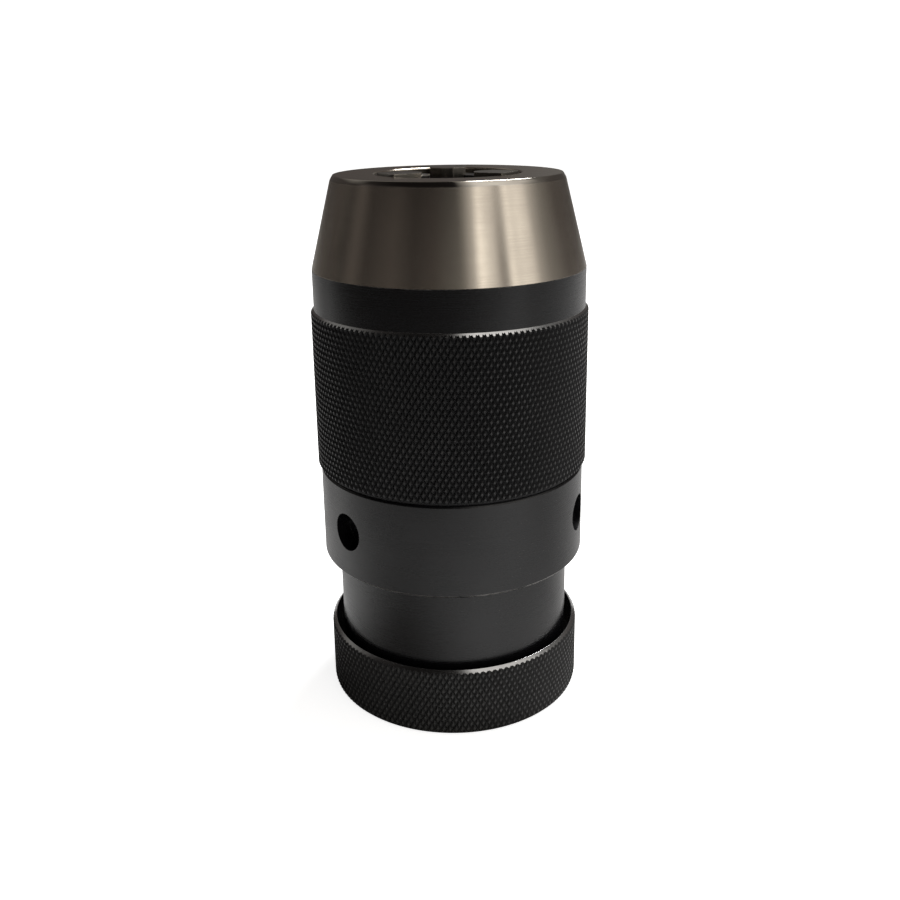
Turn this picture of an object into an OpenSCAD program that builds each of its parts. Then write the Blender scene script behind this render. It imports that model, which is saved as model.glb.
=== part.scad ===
// Keyless self-tightening drill chuck, standing nose up on its rear face.
// +Z runs from the machine end to the nose; the origin is on the axis at the rear face.
// The jaws are drawn at rest_drill; turning the sleeve drives spindle and jaws along +Z.
// All sizes are in millimetres.

/* [Outside] */
// Diameter over the knurled grip
chuck_d = 57; // [54:0.5:70]
// Length of the knurled grip
grip_l = 33.5; // [28:0.5:45]
// Length of the smooth band in front of the grip
band_l = 8; // [5:0.5:14]
// Length of the tapered nose
nose_l = 18.5; // [17:0.5:24]
// Diameter of the nose just below its bevelled edge
nose_d = 47; // [44:0.5:52]
// Height of the bevel around the nose face
nose_bevel_h = 1; // [0.4:0.1:1.6]
// Width of the bevel around the nose face
nose_bevel_w = 0.6; // [0.3:0.1:1.2]
// Depth of the grip's knurl and of the step down to the smooth bands
knurl_step = 0.6; // [0.3:0.1:1]
// Small bevel on turned outside edges
edge = 0.4; // [0.2:0.1:0.8]

/* [Hood] */
// Length of the hood's full-diameter band
hood_l = 19.5; // [17:0.5:26]
// Length of the neck seen between the holding ring and the band
neck_l = 16.5; // [12:0.5:24]
// Step from the hood's band in to its neck
neck_step = 3.2; // [2.4:0.1:4]
// Wall of the hood around the bearing
hood_wall = 4.9; // [4.2:0.1:6]
// Height of the hood's bearing shoulder above the foot of the band
shoulder_h = 2.5; // [2:0.1:4]
// Length of the threaded spigot that screws into the sleeve
spigot_l = 10; // [7:0.5:12]
// Diameter of the three spanner holes
spanner_d = 7.8; // [6:0.1:10]
// Depth of the spanner holes
spanner_deep = 3.5; // [2.5:0.1:4]
// Height of the spanner holes above the foot of the band
spanner_h = 10; // [8:0.5:12]
// Turn of the spanner holes from the jaws
spanner_turn = 10; // [0:1:60]

/* [Holding ring] */
// Height of the holding ring
ring_h = 14.5; // [12:0.5:20]
// Step from the grip's diameter in to the ring's
ring_step = 1.3; // [0.8:0.1:2]
// Wall of the ring around the neck
ring_wall = 1; // [0.9:0.1:1.2]
// Thickness of the ring's floor
ring_floor = 7.5; // [5:0.5:9]
// Diameter of the dowels that key the ring to the body
ring_pin_d = 3; // [2:0.5:4]

/* [Sleeve] */
// Wall of the sleeve over its long bore
sleeve_wall = 3.3; // [3:0.1:4]
// Wall of the sleeve over its threaded mouth
mouth_wall = 2.5; // [2.2:0.1:2.8]
// Diameter of the hole in the nose face
nose_hole_d = 29.2; // [26:0.1:31]

/* [Jaws] */
// Largest drill the jaws open to
max_drill = 16; // [14:0.5:16.5]
// Smallest drill the jaws close on
min_drill = 3; // [2.5:0.5:6]
// Opening of the jaws as drawn
rest_drill = 13; // [8:0.5:14]
// Slope of the jaws to the axis
jaw_angle = 18; // [16:0.5:22]
// Width of each jaw
jaw_w = 7.4; // [6:0.1:9]
// Length of each jaw from its tip to the spindle head
jaw_l = 34.5; // [33:0.5:38]
// Length of the gripping face
jaw_face_l = 20; // [15:0.5:22]
// Width of the narrow land that touches the drill
jaw_land = 2.2; // [1.6:0.1:2.6]
// How far the jaw tips stand out of the nose face as drawn
jaw_proud = 0.4; // [0:0.1:1]
// Radius of the jaw's rounded back
jaw_back_r = 13; // [10:0.5:14]
// Radial length of the foot that hooks into the spindle
foot_l = 8; // [6:0.5:9]
// Height of the foot's cross bar
foot_h = 2.9; // [2:0.1:3.5]
// Height of the foot's stem
stem_h = 3; // [2.5:0.1:3.5]
// Width of the foot's stem
stem_w = 4; // [3:0.1:5]
// How far the cross bar stands out on each side of the stem
foot_lip = 1.5; // [1:0.1:1.8]

/* [Jaw guide] */
// Step from the sleeve's long bore in to the guide's seat
guide_step = 1; // [0.8:0.1:1.5]
// Thinnest wall of the guide's base ring
guide_wall = 1.6; // [1.4:0.1:2]
// Bore between the guide's three webs
guide_bore = 17; // [16.5:0.1:18]
// Height over which the webs join the base ring
web_root = 4.2; // [3:0.1:6]
// How far the webs stop below the nose face
web_sunk = 1.2; // [0.6:0.1:3]
// Diameter of the guide's dowels
guide_pin_d = 2.5; // [1.5:0.5:3]
// Length of the guide's dowels
guide_pin_l = 8; // [6:0.5:9]
// Thickness of the retaining clip
clip_t = 1.4; // [1:0.1:2]
// Depth of the clip's groove
clip_deep = 0.8; // [0.5:0.1:1]
// Gap between the clip's ends, as an angle
clip_gap = 24; // [10:1:40]

/* [Spindle] */
// Thickness of the spindle's head
head_t = 10; // [9.2:0.1:12]
// Diameter of the spindle's threaded shank
shank_d = 16; // [12:0.5:17]
// Shortest thread engagement, with the jaws closed
engage_l = 7.5; // [6:0.5:9]

/* [Body] */
// Diameter of the taper socket at its mouth
socket_d = 15.733; // [12.065:0.001:18]
// Taper of the socket: one unit of diameter over this length
socket_taper = 20.047; // [19:0.001:21]
// Depth of the taper socket
socket_l = 25; // [20:0.5:26]
// Wall between the socket and the thread
socket_floor = 2.5; // [2:0.5:4]
// Thickness of the body's thrust collar
collar_t = 5.5; // [4:0.5:7]
// Step from the hub in to the body's front end
front_step = 1.5; // [1:0.1:2]

/* [Bearing] */
// Radial width of the thrust races
race_w = 6.8; // [6:0.1:8]
// Thickness of each thrust race
race_t = 2.2; // [1.8:0.1:3]
// Diameter of the balls
ball_d = 4; // [3:0.1:4.8]
// How deep the balls sit in each race
ball_sunk = 0.4; // [0.3:0.1:0.8]
// Length of cage between two balls
ball_space = 1.4; // [1:0.1:3]
// Thickness of the ball cage
cage_t = 1.8; // [1.2:0.1:2.2]
// Wall of the neck's plain bush
bush_wall = 1.5; // [1:0.1:2]
// Thickness of the washer below the neck
washer_t = 1.2; // [0.8:0.1:2]
// Thickness of the neck seal's cord
neck_seal_d = 1.6; // [1.2:0.1:2]
// Thickness of the joint seal's cord
joint_seal_d = 1.1; // [0.8:0.1:1.4]

/* [Fits] */
// Running clearance on each side of a sliding or turning fit
run_gap = 0.05; // [0.02:0.01:0.1]
// Clear gap between pieces that pass each other
part_gap = 0.4; // [0.3:0.05:0.6]
// Clearance around a seal in its groove
seal_gap = 0.02; // [0.01:0.01:0.05]

/* [Hidden] */
$fn = 96;
// A cut runs this far past the surface that it opens
over = 1;

// Radii, from the outside in
grip_r = chuck_d / 2;
band_r = grip_r - knurl_step;
neck_r = band_r - neck_step;
ring_r = grip_r - ring_step;
cup_r = ring_r - ring_wall;
bore_r = grip_r - sleeve_wall;
mouth_r = grip_r - mouth_wall;
cavity_r = band_r - hood_wall;
race_in_r = cavity_r - race_w;
hub_r = race_in_r - part_gap;
ball_ring_r = (cavity_r + race_in_r) / 2;
bush_r = hub_r + run_gap + bush_wall;
nose_r = nose_d / 2;
nose_hole_r = nose_hole_d / 2;
guide_r = bore_r - guide_step;
thread_r = shank_d / 2 + run_gap;

// Heights, from the rear face up
band_z = ring_h + neck_l;
seam_z = band_z + hood_l;
grip_top = seam_z + grip_l;
nose_z = grip_top + band_l;
face_z = nose_z + nose_l;
neck_z = ring_floor + washer_t + part_gap;
shoulder_z = band_z + shoulder_h;
ball_z = shoulder_z + race_t - ball_sunk + ball_d / 2;
race_face = ball_d / 2 - ball_sunk;
front_race_z = ball_z + race_face;
collar_z = front_race_z + race_t;

// Jaw travel along the axis, from the drawn opening
slope = tan(jaw_angle);
open_out = (max_drill - rest_drill) / 2;
open_z = open_out / slope;
close_z = (rest_drill - min_drill) / 2 / slope;
tip_z = face_z + jaw_proud;
head_z = tip_z - jaw_l;
head_r = min(cone_r(head_z + close_z), bore_r) - part_gap;
body_top = head_z - head_t - open_z - 2 * part_gap;
shank_l = open_z + close_z + engage_l + 2 * part_gap;

// The guide's seat: its webs stay in front of the closed spindle head
web_z = head_z + close_z + part_gap;
seat_z = web_z + web_root;
guide_z = face_z - (guide_r - guide_wall - nose_hole_r) / slope;

// Radius of the jaws' cone at height z: it opens towards the rear
function cone_r(z) = nose_hole_r + (face_z - z) * slope;

// Turn a piece to one of three even places, the first one away from -Y
module thirds(turn = 0) {
    for (i = [0:2]) rotate([0, 0, 90 + turn + 120 * i]) children();
}

// A ring about the axis between two heights
module tube(outer, inner, low, high) {
    rotate_extrude()
        polygon([[inner, low], [outer, low], [outer, high], [inner, high]]);
}

// A solid of the jaws' cone between two heights, widened by gap
module cone_solid(low, high, gap = 0) {
    translate([0, 0, low])
        cylinder(h = high - low, r1 = cone_r(low) + gap, r2 = cone_r(high) + gap);
}

// A straight bar along +X, centred on the axis in Y
module bar(start, end, width, low, high) {
    translate([start, -width / 2, low]) cube([end - start, width, high - low]);
}

// Hub with taper socket, thrust collar and the spindle's threaded bore
module chuck_body() {
    end_r = socket_d / 2 - socket_l / socket_taper / 2;
    color("dimgray") difference() {
        rotate_extrude() polygon([
            [0, 0], [hub_r - edge, 0], [hub_r, edge], [hub_r, collar_z],
            [cavity_r - part_gap, collar_z], [cavity_r - part_gap, collar_z + collar_t],
            [hub_r - front_step, collar_z + collar_t], [hub_r - front_step, body_top - edge],
            [hub_r - front_step - edge, body_top], [0, body_top]]);
        translate([0, 0, -over]) cylinder(h = socket_l + over, r2 = end_r,
            r1 = socket_d / 2 + over / socket_taper / 2);
        translate([0, 0, socket_l + socket_floor])
            cylinder(h = body_top - socket_l - socket_floor + over, r = thread_r);
        neck_seal_groove();
        ring_pin_holes();
    }
}

// Groove for the neck seal, just above the foot of the neck
module neck_seal_groove() {
    low = neck_z + edge;
    tube(hub_r + over, hub_r + part_gap - neck_seal_d, low, low + neck_seal_d + 2 * seal_gap);
}

// Knurled cup keyed on the body's rear end, held while the sleeve is turned
module holding_ring() {
    color("dimgray") difference() {
        rotate_extrude() polygon([
            [hub_r, edge], [hub_r + edge, 0], [ring_r - edge, 0], [ring_r, edge],
            [ring_r, ring_h - edge], [ring_r - edge, ring_h], [cup_r, ring_h],
            [cup_r, ring_floor], [hub_r, ring_floor]]);
        ring_pin_holes();
    }
}

// Two dowels, half in the body and half in the ring, a little below the rear face
module ring_pins() {
    color("silver") for (side = [0, 180]) rotate([0, 0, side])
        translate([hub_r, 0, edge]) cylinder(h = ring_floor - 2 * edge, d = ring_pin_d);
}

module ring_pin_holes() {
    for (side = [0, 180]) rotate([0, 0, side])
        translate([hub_r, 0, -over]) cylinder(h = ring_floor - edge + over, d = ring_pin_d);
}

// Washer that the foot of the neck turns on
module brake_washer() {
    color("darkgoldenrod") tube(neck_r - edge, hub_r, ring_floor, ring_floor + washer_t);
}

// Rubber cord ring that keeps dust out of the neck
module neck_seal() {
    low = neck_z + edge + seal_gap;
    color("black") rotate_extrude()
        translate([hub_r + part_gap - seal_gap - neck_seal_d / 2, low + neck_seal_d / 2])
            circle(d = neck_seal_d - 2 * seal_gap, $fn = 48);
}

// Track for the balls, the same in both races
module ball_track() {
    translate([0, 0, ball_z]) rotate_extrude() translate([ball_ring_r, 0])
        circle(r = ball_d / 2 + run_gap, $fn = 48);
}

// Thrust race under the body's collar
module front_race() {
    color("lightsteelblue") difference() {
        tube(cavity_r - part_gap, hub_r, front_race_z, front_race_z + race_t);
        ball_track();
    }
}

// Thrust race on the hood's shoulder
module rear_race() {
    color("lightsteelblue") difference() {
        tube(cavity_r, race_in_r, shoulder_z, shoulder_z + race_t);
        ball_track();
    }
}

ball_n = floor(2 * PI * ball_ring_r / (ball_d + ball_space));

module ball_places() {
    for (i = [0:ball_n - 1]) rotate([0, 0, 360 / ball_n * i])
        translate([ball_ring_r, 0, ball_z]) children();
}

// Pierced brass ring that spaces the balls
module ball_cage() {
    side = (ball_d + race_w) / 4;
    color("goldenrod") difference() {
        tube(ball_ring_r + side, ball_ring_r - side, ball_z - cage_t / 2, ball_z + cage_t / 2);
        ball_places() cylinder(h = ball_d, r = ball_d / 2 + run_gap, center = true);
    }
}

module thrust_balls() {
    color("silver") ball_places() sphere(d = ball_d);
}

// Bearing housing with a long neck; its spigot screws into the sleeve
module hood() {
    lip_z = neck_z + neck_seal_d + 3 * edge;
    color("dimgray") difference() {
        rotate_extrude() polygon([
            [hub_r + part_gap, neck_z], [neck_r - edge, neck_z], [neck_r, neck_z + edge],
            [neck_r, band_z], [band_r - edge, band_z], [band_r, band_z + edge],
            [band_r, seam_z - edge], [band_r - edge, seam_z], [mouth_r, seam_z],
            [mouth_r, seam_z + spigot_l], [cavity_r, seam_z + spigot_l], [cavity_r, shoulder_z],
            [bush_r, shoulder_z], [bush_r, lip_z], [hub_r + part_gap, lip_z]]);
        thirds(spanner_turn) translate([band_r - spanner_deep, 0, band_z + spanner_h])
            rotate([0, 90, 0]) cylinder(h = spanner_deep + over, d = spanner_d);
        joint_seal_groove();
    }
}

// Plain bush that centres the neck on the body's hub
module hood_bush() {
    color("darkgoldenrod") tube(bush_r, hub_r + run_gap,
        neck_z + neck_seal_d + 3 * edge, shoulder_z - part_gap);
}

module joint_seal_groove() {
    low = seam_z + edge;
    tube(mouth_r + over, mouth_r - joint_seal_d, low, low + joint_seal_d + 2 * seal_gap);
}

// Rubber cord ring in the screwed joint of hood and sleeve
module joint_seal() {
    color("black") rotate_extrude()
        translate([mouth_r - joint_seal_d / 2, seam_z + edge + seal_gap + joint_seal_d / 2])
            circle(d = joint_seal_d - 2 * seal_gap, $fn = 48);
}

// Outer shell with the grip and the tapered nose
module sleeve() {
    color("gray") difference() {
        rotate_extrude() polygon([
            [0, seam_z], [grip_r - knurl_step - edge, seam_z], [grip_r, seam_z + knurl_step + edge],
            [grip_r, grip_top - edge], [grip_r - edge, grip_top], [band_r, grip_top],
            [band_r, nose_z], [nose_r, face_z - nose_bevel_h],
            [nose_r - nose_bevel_w, face_z], [0, face_z]]);
        translate([0, 0, seam_z - over]) cylinder(h = spigot_l + over, r = mouth_r);
        translate([0, 0, seam_z]) cylinder(h = guide_z - seam_z, r = bore_r);
        translate([0, 0, seam_z]) cylinder(h = seat_z - seam_z, r = guide_r);
        cone_solid(seat_z - over, face_z + over);
        tube(bore_r + clip_deep, 0, guide_z - clip_t, guide_z);
        guide_pins();
    }
}

// Base ring with three webs that hold the jaws apart
module jaw_guide() {
    color("silver") difference() {
        union() {
            difference() {
                tube(guide_r, 0, guide_z, seat_z);
                cone_solid(guide_z - over, seat_z + over);
            }
            difference() {
                cone_solid(web_z, face_z - web_sunk);
                translate([0, 0, web_z - over])
                    cylinder(h = face_z - web_z, d = guide_bore);
                thirds() bar(0, guide_r, jaw_w + 2 * run_gap, web_z - over, face_z);
            }
        }
        guide_pins();
    }
}

// Three dowels across the joint of guide and sleeve
module guide_pins() {
    pin_r = (guide_r + cone_r(seat_z)) / 2;
    low = max(seat_z - guide_pin_l / 2, guide_z + edge);
    color("silver") thirds(60) translate([pin_r, 0, low])
        cylinder(h = seat_z + guide_pin_l / 2 - low, d = guide_pin_d);
}

// Spring clip below the guide, open at one side
module guide_clip() {
    color("darkslategray") rotate([0, 0, 30 + clip_gap / 2]) rotate_extrude(angle = 360 - clip_gap)
        translate([cone_r(guide_z - clip_t) + part_gap, guide_z - clip_t])
            square([bore_r + clip_deep - cone_r(guide_z - clip_t) - part_gap, clip_t]);
}

// Threaded spindle whose head carries the jaws' feet in three slots
module spindle() {
    bottom = head_z - head_t;
    slot_in = foot_in() - (rest_drill - min_drill) / 2 - part_gap;
    bar_top = head_z - stem_h;
    color("slategray") difference() {
        rotate_extrude() polygon([
            [0, bottom - shank_l], [shank_d / 2 - edge, bottom - shank_l],
            [shank_d / 2, bottom - shank_l + edge], [shank_d / 2, bottom],
            [head_r - edge, bottom], [head_r, bottom + edge],
            [head_r, head_z - edge], [head_r - edge, head_z], [0, head_z]]);
        thirds() {
            bar(slot_in, head_r + over, stem_w + 4 * run_gap, bar_top - foot_h, head_z + over);
            bar(slot_in, head_r + over, stem_w + 2 * foot_lip + 4 * run_gap,
                bar_top - foot_h - 4 * run_gap, bar_top);
        }
    }
}

// Inner end of a jaw's foot, at the drawn opening
function foot_in() = rest_drill / 2 + (jaw_l - jaw_face_l) * slope + part_gap;

// One jaw: a bar that slides along the cone, its gripping face parallel to the axis
module jaw() {
    land_r = rest_drill / 2;
    rear_z = head_z + 2 * run_gap;
    rear_in = land_r + (tip_z - jaw_face_l - rear_z) * slope;
    tip_out = cone_r(tip_z) - run_gap;
    flare = (jaw_w - jaw_land) / 2 / tan(60);
    bar_top = head_z - stem_h - 2 * run_gap;
    color("silver") {
        intersection() {
            rotate([90, 0, 0]) translate([0, 0, -jaw_w / 2]) linear_extrude(jaw_w) polygon([
                [land_r, tip_z], [tip_out - edge, tip_z], [tip_out + edge, tip_z - 2 * edge],
                [bore_r + over, tip_z - 2 * edge], [bore_r + over, rear_z], [rear_in, rear_z],
                [land_r, tip_z - jaw_face_l]]);
            translate([0, 0, rear_z - over]) linear_extrude(jaw_l + 2 * over) polygon([
                [land_r, -jaw_land / 2], [land_r + flare, -jaw_w / 2], [2 * bore_r, -jaw_w / 2],
                [2 * bore_r, jaw_w / 2], [land_r + flare, jaw_w / 2], [land_r, jaw_land / 2]]);
            translate([cone_r(tip_z) - run_gap, 0, tip_z]) rotate([0, -jaw_angle, 0])
                translate([-jaw_back_r, 0, 0]) cylinder(h = 3 * jaw_l, r = jaw_back_r, center = true);
            translate([-open_out, 0, rear_z - over])
                cylinder(h = jaw_l + 2 * over, r = bore_r - part_gap);
        }
        bar(foot_in(), foot_in() + foot_l, stem_w, bar_top - foot_h / 2, rear_z + edge);
        bar(foot_in(), foot_in() + foot_l, stem_w + 2 * foot_lip, bar_top - foot_h, bar_top);
    }
}

module jaw_1() {
    rotate([0, 0, 90]) jaw();
}

module jaw_2() {
    rotate([0, 0, 210]) jaw();
}

module jaw_3() {
    rotate([0, 0, 330]) jaw();
}

chuck_body();
holding_ring();
ring_pins();
brake_washer();
neck_seal();
front_race();
rear_race();
ball_cage();
thrust_balls();
hood();
hood_bush();
joint_seal();
sleeve();
jaw_guide();
guide_pins();
guide_clip();
spindle();
jaw_1();
jaw_2();
jaw_3();
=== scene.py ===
import math
import bpy
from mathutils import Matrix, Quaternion, Vector


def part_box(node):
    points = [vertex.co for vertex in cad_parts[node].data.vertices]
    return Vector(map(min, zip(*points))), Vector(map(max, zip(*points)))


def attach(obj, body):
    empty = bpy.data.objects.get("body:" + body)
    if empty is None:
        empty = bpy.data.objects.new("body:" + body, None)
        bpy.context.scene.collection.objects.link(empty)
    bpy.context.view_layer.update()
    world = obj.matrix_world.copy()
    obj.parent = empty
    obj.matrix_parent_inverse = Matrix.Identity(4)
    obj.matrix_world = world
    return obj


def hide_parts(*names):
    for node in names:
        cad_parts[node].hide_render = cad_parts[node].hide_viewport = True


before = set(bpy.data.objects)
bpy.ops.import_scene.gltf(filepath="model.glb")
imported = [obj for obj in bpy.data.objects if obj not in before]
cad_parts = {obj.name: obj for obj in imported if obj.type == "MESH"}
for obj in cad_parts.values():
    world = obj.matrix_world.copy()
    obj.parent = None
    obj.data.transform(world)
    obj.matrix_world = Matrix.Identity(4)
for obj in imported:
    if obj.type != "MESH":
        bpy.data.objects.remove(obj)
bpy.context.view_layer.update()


# The chuck body is the hub that carries everything else: taper socket at the rear, threaded
# bore for the spindle above it, and a thrust collar outside. It is turned from one bar of
# steel and blackened. Only its rear end can be seen.
mm = 0.001


def choose(piece):
    """Selects one piece and nothing else."""
    bpy.ops.object.select_all(action="DESELECT")
    piece.select_set(True)
    bpy.context.view_layer.objects.active = piece


def edit(piece):
    """Opens one piece, and nothing else, for editing with nothing selected."""
    choose(piece)
    bpy.ops.object.mode_set(mode="EDIT")
    bpy.ops.mesh.select_mode(type="VERT")
    bpy.ops.mesh.select_all(action="DESELECT")


def turned(name, outline, hollow=True, steps=256):
    """Turns an outline of radius and height, in millimetres, about the axis.

    A hollow outline closes on itself; the other kind is capped flat at its first and last point.
    """
    radius, height = outline[0]
    bpy.ops.object.select_all(action="DESELECT")
    bpy.ops.mesh.primitive_circle_add(vertices=steps, radius=radius * mm)
    piece = bpy.context.active_object
    piece.name = piece.data.name = name
    edit(piece)
    bpy.ops.mesh.select_all(action="SELECT")
    bpy.ops.transform.translate(value=(0, 0, height * mm))
    for next_radius, next_height in outline[1:] + outline[:1] * hollow:
        rise = (0, 0, (next_height - height) * mm)
        grow = next_radius / radius
        bpy.ops.mesh.extrude_edges_move(TRANSFORM_OT_translate={"value": rise})
        bpy.ops.transform.resize(value=(grow, grow, 1), center_override=(0, 0, 0))
        radius, height = next_radius, next_height
    if not hollow:
        bpy.ops.mesh.edge_face_add()
        bpy.ops.mesh.select_all(action="DESELECT")
        bpy.ops.mesh.select_non_manifold()
        bpy.ops.mesh.edge_face_add()
    bpy.ops.mesh.select_all(action="SELECT")
    bpy.ops.mesh.remove_doubles(threshold=0.001 * mm)
    bpy.ops.mesh.normals_make_consistent(inside=False)
    bpy.ops.object.mode_set(mode="OBJECT")
    return piece


def apply_modifier(piece, kind, **values):
    """Gives a piece one modifier and applies it at once."""
    choose(piece)
    work = piece.modifiers.new(kind.lower(), kind)
    for key, value in values.items():
        setattr(work, key, value)
    bpy.ops.object.modifier_apply(modifier=work.name)


def break_edges(piece, width, segments=3):
    """Rounds all sharp edges of a piece by a width in millimetres."""
    apply_modifier(piece, "BEVEL", width=width * mm, segments=segments,
                   limit_method="ANGLE", angle_limit=math.radians(29))


def shade(piece, angle=32):
    """Shades a piece smooth except across sharp edges, and keeps its flats flat."""
    choose(piece)
    bpy.ops.object.shade_smooth_by_angle(angle=math.radians(angle))
    apply_modifier(piece, "WEIGHTED_NORMAL", keep_sharp=True)


def cut(piece, cutter, operation="DIFFERENCE"):
    """Cuts one solid with another, which is used up."""
    apply_modifier(piece, "BOOLEAN", operation=operation, object=cutter, solver="MANIFOLD")
    bpy.data.objects.remove(cutter)


def clear_slivers(piece):
    """Closes up the needle-thin faces that cutting leaves in a piece."""
    edit(piece)
    bpy.ops.mesh.select_all(action="SELECT")
    bpy.ops.mesh.remove_doubles(threshold=0.004 * mm)
    bpy.ops.mesh.dissolve_degenerate(threshold=0.002 * mm)
    bpy.ops.object.mode_set(mode="OBJECT")


def cylinder(radius, low, high, centre=(0, 0), steps=64):
    """An upright cylinder, in millimetres, for cutting or joining."""
    bpy.ops.object.select_all(action="DESELECT")
    place = (centre[0] * mm, centre[1] * mm, (low + high) / 2 * mm)
    bpy.ops.mesh.primitive_cylinder_add(vertices=steps, radius=radius * mm,
                                        depth=(high - low) * mm, location=place)
    bpy.ops.object.transform_apply()
    return bpy.context.active_object


def group_of(name, inputs, outputs):
    """Starts a node group with number inputs and outputs, and returns its parts."""
    group = bpy.data.node_groups.new(name, "ShaderNodeTree")
    for label, value in inputs.items():
        socket = group.interface.new_socket(label, in_out="INPUT", socket_type="NodeSocketFloat")
        socket.default_value = value
    for label in outputs:
        group.interface.new_socket(label, in_out="OUTPUT", socket_type="NodeSocketFloat")
    return group, group.nodes.new("NodeGroupInput"), group.nodes.new("NodeGroupOutput")


def link(tree, *pairs):
    """Joins sockets two by two."""
    for start, end in pairs:
        tree.links.new(start, end)


def span(tree, source, low, high, to_low=0.0, to_high=1.0):
    """Stretches one range of numbers to another and returns the result's socket."""
    node = tree.nodes.new("ShaderNodeMapRange")
    for label, value in (("From Min", low), ("From Max", high), ("To Min", to_low),
                         ("To Max", to_high)):
        node.inputs[label].default_value = value
    tree.links.new(source, node.inputs["Value"])
    return node.outputs[0]


def combine(tree, first, second, operation="MULTIPLY"):
    """Works out one number from two, either of them a socket or a plain value."""
    node = tree.nodes.new("ShaderNodeMath")
    node.operation = operation
    for socket, value in zip(node.inputs, (first, second)):
        if isinstance(value, (int, float)):
            socket.default_value = value
        else:
            tree.links.new(value, socket)
    return node.outputs[0]


def noise(tree, source, scale, detail=4.0, roughness=0.6):
    """Noise over a set of coordinates."""
    node = tree.nodes.new("ShaderNodeTexNoise")
    node.inputs["Detail"].default_value = detail
    node.inputs["Roughness"].default_value = roughness
    tree.links.new(source, node.inputs["Vector"])
    if isinstance(scale, (int, float)):
        node.inputs["Scale"].default_value = scale
    else:
        tree.links.new(scale, node.inputs["Scale"])
    return node.outputs["Fac"]


def turning_marks():
    """Fine rings that a lathe or grinder leaves: they follow radius and height only."""
    group, given, out = group_of("turning_marks", {"Fineness": 3000, "Drift": 0.02},
                                 ("Rings", "Cloud", "Radius"))
    place = group.nodes.new("ShaderNodeTexCoord").outputs["Object"]
    split = group.nodes.new("ShaderNodeSeparateXYZ")
    flat = group.nodes.new("ShaderNodeCombineXYZ")
    radius = group.nodes.new("ShaderNodeVectorMath")
    radius.operation = "LENGTH"
    drift = group.nodes.new("ShaderNodeVectorMath")
    drift.operation = "SCALE"
    rings = group.nodes.new("ShaderNodeCombineXYZ")
    both = group.nodes.new("ShaderNodeVectorMath")
    link(group, (place, split.inputs[0]), (split.outputs[0], flat.inputs[0]),
         (split.outputs[1], flat.inputs[1]), (flat.outputs[0], radius.inputs[0]),
         (flat.outputs[0], drift.inputs[0]), (given.outputs["Drift"], drift.inputs["Scale"]),
         (radius.outputs["Value"], rings.inputs[0]), (split.outputs[2], rings.inputs[2]),
         (rings.outputs[0], both.inputs[0]), (drift.outputs[0], both.inputs[1]))
    fine = noise(group, both.outputs[0], given.outputs["Fineness"], detail=3)
    link(group, (fine, out.inputs["Rings"]), (noise(group, place, 140), out.inputs["Cloud"]),
         (radius.outputs["Value"], out.inputs["Radius"]))
    return group


def edge_wear():
    """Where an outside edge has been rubbed bare: the edge, broken up by noise."""
    group, given, out = group_of("edge_wear", {"Reach": 0.0003}, ("Worn",))
    rounded = group.nodes.new("ShaderNodeBevel")
    rounded.samples = 4
    true = group.nodes.new("ShaderNodeNewGeometry")
    facing = group.nodes.new("ShaderNodeVectorMath")
    facing.operation = "DOT_PRODUCT"
    link(group, (given.outputs["Reach"], rounded.inputs["Radius"]),
         (rounded.outputs[0], facing.inputs[0]), (true.outputs["Normal"], facing.inputs[1]))
    bent = span(group, facing.outputs["Value"], 0.99, 0.93)
    place = group.nodes.new("ShaderNodeTexCoord").outputs["Object"]
    patches = span(group, noise(group, place, 700, 3), 0.38, 0.6)
    link(group, (combine(group, bent, patches), out.inputs["Worn"]))
    return group


turning = turning_marks()
wear = edge_wear()


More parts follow.
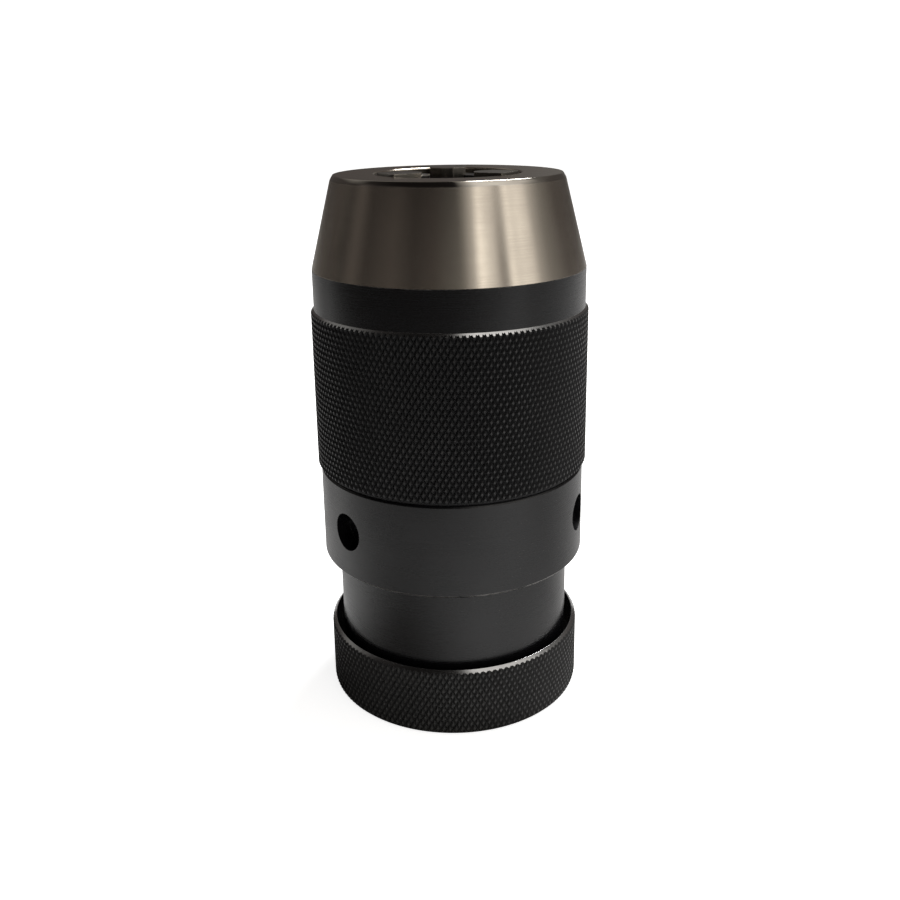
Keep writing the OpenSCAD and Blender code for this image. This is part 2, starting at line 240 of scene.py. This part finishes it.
def metal(name, dark, light, bare, rough, metallic=1.0, fineness=3000, drift=0.02, relief=0.15,
          rub=0.6, reach=0.3, level=0.5, lay=0.0, crest=None):
    """A turned finish of uneven tone and gloss, with fine rings and rubbed edges.

    With a crest, the radius of a knurl's points in millimetres, those are rubbed instead, and
    the grooves between them are dull.
    """
    mat = bpy.data.materials.new(name)
    mat.use_nodes = True
    tree = mat.node_tree
    shader = tree.nodes["Principled BSDF"]
    shader.inputs["Metallic"].default_value = metallic
    shader.inputs["Specular IOR Level"].default_value = level
    if lay:
        shader.inputs["Anisotropic"].default_value = lay
        shader.inputs["Anisotropic Rotation"].default_value = 0.25
        around = tree.nodes.new("ShaderNodeTangent")
        around.direction_type, around.axis = "RADIAL", "Z"
        tree.links.new(around.outputs[0], shader.inputs["Tangent"])
    marks = tree.nodes.new("ShaderNodeGroup")
    marks.node_tree = turning
    marks.inputs["Fineness"].default_value = fineness
    marks.inputs["Drift"].default_value = drift
    mixed = combine(tree, marks.outputs["Rings"], marks.outputs["Cloud"], "ADD")
    gloss = span(tree, mixed, 0.7, 1.3, rough * 1.2, rough * 0.8)
    if crest:
        groove_rough = 0.72
        top = span(tree, marks.outputs["Radius"], (crest - 0.05) * mm, (crest - 0.01) * mm)
        gloss = combine(tree, gloss, span(tree, top, 0, 1, groove_rough, 0), "MAXIMUM")
        patches = span(tree, marks.outputs["Cloud"], 0.3, 0.7, 0.3, 1.0)
        rubbing = combine(tree, combine(tree, top, patches), rub)
    else:
        edges = tree.nodes.new("ShaderNodeGroup")
        edges.node_tree = wear
        edges.inputs["Reach"].default_value = reach * mm
        rubbing = combine(tree, edges.outputs["Worn"], rub)
    tone = tree.nodes.new("ShaderNodeMix")
    tone.data_type = "RGBA"
    tone.inputs[6].default_value = (*dark, 1)
    tone.inputs[7].default_value = (*light, 1)
    worn = tree.nodes.new("ShaderNodeMix")
    worn.data_type = "RGBA"
    worn.inputs[7].default_value = (*bare, 1)
    bump = tree.nodes.new("ShaderNodeBump")
    bump.inputs["Strength"].default_value = relief
    bump.inputs["Distance"].default_value = 0.02 * mm
    link(tree, (span(tree, mixed, 0.7, 1.3), tone.inputs[0]), (tone.outputs[2], worn.inputs[6]),
         (rubbing, worn.inputs[0]), (worn.outputs[2], shader.inputs["Base Color"]),
         (gloss, shader.inputs["Roughness"]),
         (marks.outputs["Rings"], bump.inputs["Height"]),
         (bump.outputs[0], shader.inputs["Normal"]))
    return mat


def finish(piece, mat):
    """Gives a piece, or a CAD node, one finish all over."""
    if not piece.data.materials:
        piece.data.materials.append(mat)
    for place in piece.material_slots:
        place.material = mat


def finish_part(piece, mat, chosen):
    """Gives one finish to the faces whose middle radius, height and normal pass a test."""
    piece.data.materials.append(mat)
    number = len(piece.data.materials) - 1
    for face in piece.data.polygons:
        if chosen(face.center.xy.length / mm, face.center.z / mm, face.normal.z):
            face.material_index = number


black = metal("black_oxide", (0.003, 0.003, 0.0042), (0.007, 0.0068, 0.0076), (0.16, 0.155, 0.15),
              0.26, metallic=0.0, fineness=7000, drift=0.003, relief=0.02, rub=0.8, reach=0.25)
edge = 0.4
hub_r, front_r, thread_r, thread_z = 15.8, 14.3, 8.05, 27.5
collar_r, collar_z, collar_top = 22.6, 41.1, 46.6
socket_r, socket_end_r, socket_end, socket_lead = 7.867, 7.243, 25, 0.3
dowel_r, dowel_end = 1.5, 7.1
body_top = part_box("chuck_body")[1].z / mm


def drill_dowel_holes(piece):
    """Cuts the two holes, half in the body and half in the ring, that take the dowels."""
    for side in (-1, 1):
        cut(piece, cylinder(dowel_r, -1, dowel_end, (side * hub_r, 0), 32))


body = turned("chuck_body_turned", [
    (socket_end_r, socket_end), (socket_r, socket_lead), (socket_r + socket_lead, 0),
    (hub_r - edge, 0), (hub_r, edge), (hub_r, collar_z), (collar_r, collar_z),
    (collar_r, collar_top), (front_r, collar_top), (front_r, body_top - edge),
    (front_r - edge, body_top), (thread_r, body_top), (thread_r, thread_z)], hollow=False)
break_edges(body, 0.12)
drill_dowel_holes(body)
shade(body)
finish(body, black)
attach(body, "rear_end")
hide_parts("chuck_body")


# The holding ring is a cup, keyed and shrunk on the rear of the body, and gripped in one hand
# while the other turns the sleeve. It is turned and blackened steel, with a crossed knurl
# rolled round its side before its ends are chamfered.
def knurled_bar(radius, depth, columns, pitch, low, high):
    """A bar with diamond points all round, its crests on the radius, in millimetres."""
    rows = math.ceil((high - low) / (pitch / 2))
    bpy.ops.object.select_all(action="DESELECT")
    bpy.ops.mesh.primitive_circle_add(vertices=columns, radius=radius * mm)
    bar = bpy.context.active_object
    edit(bar)
    bpy.ops.mesh.select_all(action="SELECT")
    bpy.ops.transform.translate(value=(0, 0, low * mm))
    for row in range(rows):
        bpy.ops.mesh.extrude_edges_move(TRANSFORM_OT_translate={"value": (0, 0, pitch / 2 * mm)})
    bpy.ops.mesh.select_all(action="DESELECT")
    bpy.ops.object.mode_set(mode="OBJECT")
    for vertex in bar.data.vertices:
        column = round(math.atan2(vertex.co.y, vertex.co.x) / math.tau * columns)
        row = round((vertex.co.z / mm - low) / (pitch / 2))
        vertex.select = (column + row) % 2 == 1
    bpy.ops.object.mode_set(mode="EDIT")
    inward = 1 - depth / radius
    bpy.ops.transform.resize(value=(inward, inward, 1), center_override=(0, 0, 0))
    bpy.ops.mesh.select_all(action="SELECT")
    bpy.ops.mesh.quads_convert_to_tris(quad_method="SHORTEST_DIAGONAL")
    bpy.ops.mesh.select_all(action="DESELECT")
    bpy.ops.mesh.select_non_manifold()
    bpy.ops.mesh.fill_holes(sides=0)
    bpy.ops.mesh.select_all(action="SELECT")
    bpy.ops.mesh.normals_make_consistent(inside=False)
    bpy.ops.object.mode_set(mode="OBJECT")
    return bar


ring_r, ring_h, ring_floor, cup_r = 27.2, 14.5, 7.5, 26.2
foot_bevel, lip_h, rim_bevel = 0.6, 0.75, 0.15
ring = turned("holding_ring_knurled", [
    (hub_r, edge), (hub_r + edge, 0), (ring_r - foot_bevel, 0), (ring_r, foot_bevel),
    (ring_r, ring_h - lip_h), (cup_r + rim_bevel, ring_h), (cup_r, ring_h - rim_bevel),
    (cup_r, ring_floor), (hub_r, ring_floor)])
break_edges(ring, 0.1)
drill_dowel_holes(ring)
# The bar's points stand a little outside the ring, so the ring's turned face leaves them flat.
knurl_lift, knurl_depth, knurl_pitch, ring_points = 0.18, 0.56, 2.18, 272
cut(ring, knurled_bar(ring_r + knurl_lift, knurl_depth, ring_points, knurl_pitch, -1, ring_h + 1),
    "INTERSECT")
clear_slivers(ring)
shade(ring)
knurled_black = metal("knurled_black_ring", (0.014, 0.014, 0.0145), (0.024, 0.0236, 0.024),
                      (0.07, 0.069, 0.068), 0.36, metallic=0.0, fineness=900, drift=1.0,
                      relief=0.1, level=0.5, rub=0.8, crest=ring_r)
rubbed = metal("rubbed_lip", (0.42, 0.42, 0.425), (0.72, 0.72, 0.725), (0.8, 0.8, 0.8), 0.17,
               fineness=1200, drift=0.05, relief=0.06)
finish(ring, knurled_black)
finish_part(ring, rubbed, lambda r, z, up: z > ring_h - lip_h - 0.05 and 0.3 < up < 0.95)
finish_part(ring, black, lambda r, z, up: r < cup_r + 0.1)
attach(ring, "rear_end")
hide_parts("holding_ring")


# Two hardened dowels key the ring to the body, each let half into either, a little below the
# rear face. They are ground from bearing steel.
bearing_steel = metal("bearing_steel", (0.52, 0.52, 0.53), (0.66, 0.66, 0.66), (0.8, 0.8, 0.8),
                      0.14, fineness=4000, relief=0.05)
finish(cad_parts["ring_pins"], bearing_steel)


# A bronze washer under the foot of the neck, and a bronze bush in it, are what the turning
# hood runs on. Both are plain turned rings.
bronze = metal("bronze", (0.42, 0.24, 0.10), (0.56, 0.34, 0.16), (0.75, 0.52, 0.28), 0.32,
               fineness=2500)
finish(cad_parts["brake_washer"], bronze)
finish(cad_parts["hood_bush"], bronze)


# Two rubber cord rings keep the grease in and dust out, one at the foot of the neck and one in
# the screwed joint of hood and sleeve.
rubber = metal("rubber", (0.012, 0.012, 0.012), (0.03, 0.03, 0.03), (0.05, 0.05, 0.05), 0.62,
               metallic=0.0, fineness=900, relief=0.3)
finish(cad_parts["neck_seal"], rubber)
finish(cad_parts["joint_seal"], rubber)


# The ball thrust bearing between the body's collar and the hood's shoulder: two ground races,
# a pierced brass cage and a ring of balls.
brass = metal("brass", (0.56, 0.40, 0.14), (0.72, 0.54, 0.22), (0.85, 0.7, 0.38), 0.26)
for race in ("front_race", "rear_race", "thrust_balls"):
    finish(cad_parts[race], bearing_steel)
finish(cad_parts["ball_cage"], brass)


# The hood is the bearing's housing, with a long neck down into the ring. It is turned from one
# bar and blackened, its spigot screws up into the sleeve, and three holes are drilled in its
# band for a hook spanner.
neck_r, neck_z, neck_row, neck_bore = 24.7, 9.1, 20, hub_r + 0.4
band_r, band_z, seam_z = 27.9, 31, 50.5
spigot_r, spigot_top, cavity_r, shoulder_z = 26, seam_z + 10, 23, 33.5
bush_r, bush_z = 17.35, 11.9
spanner_z, spanner_r, spanner_deep = 41, 3.9, 3.5
# The points at neck_row and above and below the holes only divide the longest faces.
hood = turned("hood_turned", [
    (neck_bore, neck_z), (neck_r - edge, neck_z), (neck_r, neck_z + edge), (neck_r, neck_row),
    (neck_r, band_z - 0.5), (neck_r + 0.1, band_z - 0.2), (neck_r + 0.4, band_z),
    (band_r - foot_bevel, band_z), (band_r, band_z + foot_bevel), (band_r, spanner_z - 5),
    (band_r, spanner_z + 5), (band_r, seam_z - edge), (band_r - edge, seam_z),
    (spigot_r, seam_z), (spigot_r, spigot_top), (cavity_r, spigot_top), (cavity_r, shoulder_z),
    (bush_r, shoulder_z), (bush_r, bush_z), (neck_bore, bush_z)])
break_edges(hood, 0.12)
drill_l = 10
for turn in (100, 220, 340):
    along = Vector((math.cos(math.radians(turn)), math.sin(math.radians(turn)), 0))
    middle = along * (band_r - spanner_deep + drill_l / 2) * mm + Vector((0, 0, spanner_z * mm))
    bpy.ops.object.select_all(action="DESELECT")
    bpy.ops.mesh.primitive_cylinder_add(
        vertices=72, radius=spanner_r * mm, depth=drill_l * mm, location=middle,
        rotation=(0, math.radians(90), math.radians(turn)))
    bpy.ops.object.transform_apply()
    cut(hood, bpy.context.active_object)
shade(hood)
finish(hood, black)
chipped = metal("chipped_edge", (0.006, 0.006, 0.007), (0.26, 0.25, 0.24), (0.4, 0.39, 0.38), 0.34,
                metallic=0.5, fineness=500, drift=1.0, relief=0.2)
finish_part(hood, chipped, lambda r, z, up: (band_z - 0.05 < z < band_z + foot_bevel + 0.02
                                             and r > band_r - foot_bevel - 0.05))
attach(hood, "outer_shell")
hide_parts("hood")


# The sleeve is the outer shell that is gripped and turned. Its grip is knurled and blackened
# with the smooth band in front of it; above the band the taper and the nose face are ground
# bright afterwards, so the black stops at a sharp line.
grip_r, grip_top, grip_bevel, lip_bevel, nose_z = 28.5, 84, 1, 0.65, 92
grip_bore, seat_r, groove_r, groove_z, groove_top = 25.2, 24.2, 26, 84.48, 85.88
grip = turned("sleeve_grip", [
    (spigot_r, seam_z), (grip_r - grip_bevel, seam_z), (grip_r, seam_z + grip_bevel),
    (grip_r, grip_top - lip_bevel), (band_r, grip_top), (band_r, (grip_top + nose_z) / 2),
    (band_r, nose_z), (seat_r, nose_z), (seat_r, groove_top), (groove_r, groove_top),
    (groove_r, groove_z), (grip_bore, groove_z), (grip_bore, spigot_top), (spigot_r, spigot_top)])
grip_points = 288
cut(grip, knurled_bar(grip_r + knurl_lift, knurl_depth, grip_points, knurl_pitch,
                      seam_z - 1, nose_z + 1), "INTERSECT")
clear_slivers(grip)
shade(grip)
knurled_grip = metal("knurled_black_grip", (0.002, 0.002, 0.003), (0.005, 0.0049, 0.006),
                     (0.05, 0.049, 0.049), 0.24, metallic=0.0, fineness=900, drift=1.0,
                     relief=0.1, level=0.45, rub=0.8, crest=grip_r)
finish(grip, knurled_grip)
finish_part(grip, rubbed, lambda r, z, up: (grip_top - lip_bevel - 0.1 < z < grip_top
                                            and 0.5 < up < 0.95))
finish_part(grip, black, lambda r, z, up: z > grip_top - 0.01 or r < 27)
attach(grip, "outer_shell")

# The nose is the front of the same turned shell: a ground taper outside, a flat face, and the
# cone that the jaws slide on inside.
face_z, nose_r, nose_bevel_w, nose_bevel_h = 110.5, 23.5, 0.6, 1
nose_row_r, nose_row_z = 26.4, 98
hole_r, cone_r, seat_top = 14.6, 19.185, 96.39
nose = turned("sleeve_nose", [
    (seat_r, nose_z), (band_r, nose_z), (nose_row_r, nose_row_z), (nose_r, face_z - nose_bevel_h),
    (nose_r - nose_bevel_w, face_z), (hole_r + 0.3, face_z), (hole_r + 0.1, face_z - 0.3),
    (cone_r, seat_top), (seat_r, seat_top)])
break_edges(nose, 0.12)
shade(nose)
ground = metal("ground_steel", (0.57, 0.51, 0.435), (0.65, 0.585, 0.50), (0.8, 0.74, 0.66), 0.21,
               fineness=9000, drift=0.004, relief=0.02, rub=0.15, lay=0.9)
finish(nose, ground)
polished = metal("polished_rim", (0.50, 0.46, 0.41), (0.62, 0.58, 0.52), (0.8, 0.76, 0.7), 0.09,
                 fineness=4000, relief=0.02, rub=0.2)
lapped = metal("ground_face", (0.17, 0.14, 0.115), (0.27, 0.225, 0.18), (0.6, 0.54, 0.46), 0.22,
               fineness=5000, drift=0.01, relief=0.04, rub=0.15)
finish_part(nose, lapped, lambda r, z, up: up > 0.97)
finish_part(nose, polished, lambda r, z, up: (
    z > face_z - nose_bevel_h - 0.2 and r > nose_r - nose_bevel_w - 0.2 and 0.3 < up < 0.97))
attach(nose, "outer_shell")
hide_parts("sleeve")


# The jaw guide sits inside the nose on its base ring: three webs between which the jaws slide.
# It is milled from a turned blank, hardened dark, held by a spring clip and kept from turning
# by three dowels.
def box(low, high):
    """A block between two corners, in millimetres."""
    middle = [(a + b) / 2 * mm for a, b in zip(low, high)]
    bpy.ops.object.select_all(action="DESELECT")
    bpy.ops.mesh.primitive_cube_add(size=mm, location=middle,
                                    scale=[b - a for a, b in zip(low, high)])
    bpy.ops.object.transform_apply()
    return bpy.context.active_object


inner = metal("dark_machined_steel", (0.045, 0.043, 0.043), (0.075, 0.072, 0.072),
              (0.22, 0.21, 0.2), 0.34, fineness=2200, relief=0.2)
web_in, web_z, web_top = 8.5, 92.19, 109.3
root_r, step_r, step_in_r, tip_r, step_z = 20.75, 19.45, 19.25, 14.99, 96.19
slot_w, slot_out, slot_low, slot_high = 7.5, 26, 88, 112
jaw_turns = (90, 210, 330)
guide = turned("jaw_guide_milled", [
    (web_in, web_z), (root_r, web_z), (step_r, step_z), (step_in_r, step_z), (tip_r, web_top),
    (web_in, web_top)], steps=192)
for turn in jaw_turns:
    slot = box((0, -slot_w / 2, slot_low), (slot_out, slot_w / 2, slot_high))
    slot.rotation_euler.z = math.radians(turn)
    bpy.ops.object.transform_apply()
    cut(guide, slot)
seat_low_r = 22.6
seat = turned("guide_seat", [
    (seat_r, groove_top), (seat_r, seat_top), (cone_r, seat_top), (seat_low_r, groove_top)],
    steps=192)
cut(guide, seat, "UNION")
clear_slivers(guide)
break_edges(guide, 0.1, 2)
shade(guide)
finish(guide, inner)
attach(guide, "outer_shell")
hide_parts("jaw_guide")
finish(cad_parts["guide_pins"], bearing_steel)

spring = metal("spring_steel", (0.10, 0.10, 0.11), (0.17, 0.17, 0.18), (0.4, 0.4, 0.4), 0.3)
finish(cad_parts["guide_clip"], spring)


# The spindle screws up and down in the body, and its head carries the feet of the jaws in
# three T-slots. It is turned, milled and hardened, and left dark from the heat.
finish(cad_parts["spindle"], inner)


# The three jaws slide down the taper inside the sleeve, each hooked by its foot to the spindle.
# They are ground from tool steel: a round back, a wedge front, and a narrow gripping land.
jaw_steel = metal("jaw_steel", (0.14, 0.13, 0.115), (0.23, 0.215, 0.19), (0.55, 0.51, 0.45), 0.24,
                  fineness=3500, relief=0.15, rub=0.7, reach=0.35)
tip_z, jaw_l, jaw_w, jaw_out = 110.9, 34.4, 7.4, 26
jaw_land, land_r, land_l = 2.2, 6.5, 20
slope, flank = math.radians(18), math.radians(60)
rear_z = tip_z - jaw_l


def slice_off(piece, point, normal):
    """Planes a piece down to a point, on the side that the normal points to."""
    edit(piece)
    bpy.ops.mesh.select_all(action="SELECT")
    bpy.ops.mesh.bisect(plane_co=[value * mm for value in point], plane_no=normal,
                        use_fill=True, clear_outer=True)
    bpy.ops.object.mode_set(mode="OBJECT")


jaw = box((land_r, -jaw_w / 2, rear_z), (jaw_out, jaw_w / 2, tip_z))
slice_off(jaw, (land_r, 0, tip_z - land_l), (-math.cos(slope), 0, -math.sin(slope)))
for side in (-1, 1):
    slice_off(jaw, (land_r, side * jaw_land / 2, 0), (-math.sin(flank), side * math.cos(flank), 0))
tip_out = hole_r - (tip_z - face_z) * math.tan(slope) - 0.05
slice_off(jaw, (tip_out - edge, 0, tip_z), (1, 0, 1))
back_r, back_l = 13, 110
back_x, back_z = tip_out - back_r * math.cos(slope), tip_z - back_r * math.sin(slope)
bpy.ops.object.select_all(action="DESELECT")
bpy.ops.mesh.primitive_cylinder_add(
    vertices=160, radius=back_r * mm, depth=back_l * mm, rotation=(0, -slope, 0),
    location=(back_x * mm, 0, back_z * mm))
bpy.ops.object.transform_apply()
cut(jaw, bpy.context.active_object, "INTERSECT")
heel_r, heel_x = 24.8, -1.5
cut(jaw, cylinder(heel_r, rear_z - 1, tip_z + 1, (heel_x, 0), 160), "INTERSECT")
foot_in, foot_out, foot_top, foot_h, foot_w, shank_w = 11.61, 19.61, 73.3, 2.9, 7, 4
cut(jaw, box((foot_in, -shank_w / 2, foot_top - 1), (foot_out, shank_w / 2, rear_z + 0.4)), "UNION")
cut(jaw, box((foot_in, -foot_w / 2, foot_top - foot_h), (foot_out, foot_w / 2, foot_top)), "UNION")
break_edges(jaw, 0.15, 2)
jaws = [jaw]
for turn in jaw_turns[1:]:
    choose(jaw)
    bpy.ops.object.duplicate()
    jaws.append(bpy.context.active_object)
for piece, node, body_name, turn in zip(jaws, ("jaw_1", "jaw_2", "jaw_3"),
                                        ("jaw_one", "jaw_two", "jaw_three"), jaw_turns):
    choose(piece)
    piece.rotation_euler.z = math.radians(turn)
    bpy.ops.object.transform_apply()
    piece.name = piece.data.name = node + "_ground"
    shade(piece)
    finish(piece, jaw_steel)
    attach(piece, body_name)
    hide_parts(node)


# The chuck stands on a wide sheet of white card. Its colour carries painted shade that only the
# metal's mirror of it shows: brightest just in front of the chuck, falling to dark further out in
# front and to the left, and to half as bright to the right and behind. Seen directly it glows
# evenly white.
bpy.ops.object.select_all(action="DESELECT")
bpy.ops.mesh.primitive_plane_add(size=8)
card = bpy.context.active_object
card.name = "card_floor"
paper = bpy.data.materials.new("white_card_painted_shade")
paper.use_nodes = True
tree = paper.node_tree
place = tree.nodes.new("ShaderNodeTexCoord").outputs["Object"]
split = tree.nodes.new("ShaderNodeSeparateXYZ")
eye = tree.nodes.new("ShaderNodeLightPath").outputs["Is Camera Ray"]
tone = tree.nodes.new("ShaderNodeMix")
tone.data_type = "RGBA"
# Painted shade: the card's colour runs from this dark grey out in front up to white by the chuck.
tone.inputs[6].default_value = (0.10, 0.095, 0.09, 1)
tone.inputs[7].default_value = (0.80, 0.80, 0.80, 1)
shader = tree.nodes["Principled BSDF"]
shader.inputs["Roughness"].default_value = 0.85
shader.inputs["Specular IOR Level"].default_value = 0.2
link(tree, (place, split.inputs[0]))
# Painted shade, seen only off the metal: darker further out in front and to the left, half as
# bright to the right and behind; camera rays see it all white.
rightward = combine(tree, split.outputs[0], 0.7)
painted_shade = span(tree, combine(tree, split.outputs[1], rightward, "ADD"), -0.32, -0.06)
leftward = combine(tree, split.outputs[0], 0.5)
side_painted_shade = span(tree, combine(tree, split.outputs[1], leftward, "ADD"), -0.04, 0.03, 1.0, 0.5)
painted_shade = combine(tree, combine(tree, painted_shade, side_painted_shade), eye, "MAXIMUM")
grain = span(tree, noise(tree, place, 600, 4), 0.3, 0.7, 0.97, 1.0)
link(tree, (combine(tree, painted_shade, grain), tone.inputs[0]),
     (tone.outputs[2], shader.inputs["Base Color"]))
shader.inputs["Emission Color"].default_value = (1, 1, 1, 1)
link(tree, (combine(tree, eye, 0.85), shader.inputs["Emission Strength"]))
card.data.materials.append(paper)


# The room is dim, with a narrow and a broad window on the right at the chuck's height, a wide
# one above them, and a faint high one at the back left. Seen directly it is plain white.
world = bpy.data.worlds.new("room")
bpy.context.scene.world = world
world.use_nodes = True
tree = world.node_tree
tree.nodes.clear()
way = tree.nodes.new("ShaderNodeTexCoord").outputs["Generated"]
split = tree.nodes.new("ShaderNodeSeparateXYZ")
link(tree, (way, split.inputs[0]))
behind = combine(tree, split.outputs[1], -1)
bearing = combine(tree, split.outputs[0], behind, "ARCTAN2")
compass = span(tree, bearing, -math.pi, math.pi)


def walls_at(stops):
    """The room's brightness round the compass, from degrees and levels."""
    node = tree.nodes.new("ShaderNodeValToRGB")
    elements = node.color_ramp.elements
    while len(elements) < len(stops):
        elements.new(0.5)
    for element, (degrees, level) in zip(elements, stops):
        element.position = (degrees + 180) / 360
        warmth = 0.93 if level < 0.1 else 1
        element.color = (level, level * 0.965 * warmth, level * 0.91 * warmth, 1)
    tree.links.new(compass, node.inputs[0])
    return node.outputs[0]


low_walls = walls_at((
    (-180, 0.055), (-150, 0.040), (-113, 0.036), (-101, 0.026), (-88, 0.064), (-74, 0.028),
    (-48, 0.062), (-30, 0.036), (-12, 0.058), (3, 0.10), (12, 0.125), (21, 0.38), (27, 1.1),
    (33, 0.70), (39, 0.46), (45, 0.09), (49, 0.15), (54, 0.95), (60, 0.66), (66, 0.76),
    (74, 0.6), (81, 0.27), (92, 0.14), (115, 0.055), (150, 0.045), (172, 0.10), (180, 0.055)))
high_walls = walls_at((
    (-180, 0.055), (-165, 0.07), (-140, 0.17), (-115, 0.15), (-92, 0.015), (-60, 0.006),
    (8, 0.006), (20, 0.28), (30, 0.62), (84, 0.52), (104, 0.10), (140, 0.05), (172, 0.08),
    (180, 0.055)))
room = tree.nodes.new("ShaderNodeMix")
room.data_type = "RGBA"
link(tree, (span(tree, split.outputs[2], 0.30, 0.50), room.inputs[0]),
     (low_walls, room.inputs[6]), (high_walls, room.inputs[7]))
shine = tree.nodes.new("ShaderNodeBackground")
shine.inputs["Strength"].default_value = 1.6
plain = tree.nodes.new("ShaderNodeBackground")
plain.inputs["Color"].default_value = (1, 1, 1, 1)
plain.inputs["Strength"].default_value = 1.1
pick = tree.nodes.new("ShaderNodeMixShader")
eye = tree.nodes.new("ShaderNodeLightPath").outputs["Is Camera Ray"]
sky = tree.nodes.new("ShaderNodeOutputWorld")
link(tree, (room.outputs[2], shine.inputs["Color"]), (eye, pick.inputs[0]),
     (shine.outputs[0], pick.inputs[1]), (plain.outputs[0], pick.inputs[2]),
     (pick.outputs[0], sky.inputs["Surface"]))


# A round soft lamp hangs above and behind the chuck, to its right, and lights it and the card.
bpy.ops.object.light_add(type="AREA", location=(0.26, 0.30, 0.75))
lamp = bpy.context.active_object
lamp.name = "overhead_lamp"
lamp.data.shape = "DISK"
lamp.data.size = 0.4
lamp.data.energy = 9
lamp.rotation_euler = (Vector((0, 0.02, 0)) - lamp.location).to_track_quat("-Z", "Y").to_euler()


# The camera stands close in front and looks down on the chuck, rolled by less than a degree.
bpy.ops.object.camera_add(location=(-0.00016, -0.20026, 0.12478))
camera = bpy.context.active_object
camera.name = "camera"
camera.data.sensor_width = 36
camera.data.lens = 39.43
camera.data.shift_y = -0.0778
camera.rotation_mode = "QUATERNION"
pitch, roll = math.radians(15.987), math.radians(0.847)
ahead = Vector((0, math.cos(pitch), -math.sin(pitch)))
camera.rotation_quaternion = ahead.to_track_quat("-Z", "Y") @ Quaternion((0, 0, 1), -roll)
camera.data.clip_start, camera.data.clip_end = 0.01, 20
bpy.context.scene.camera = camera
bpy.context.scene.view_settings.view_transform = "Standard"
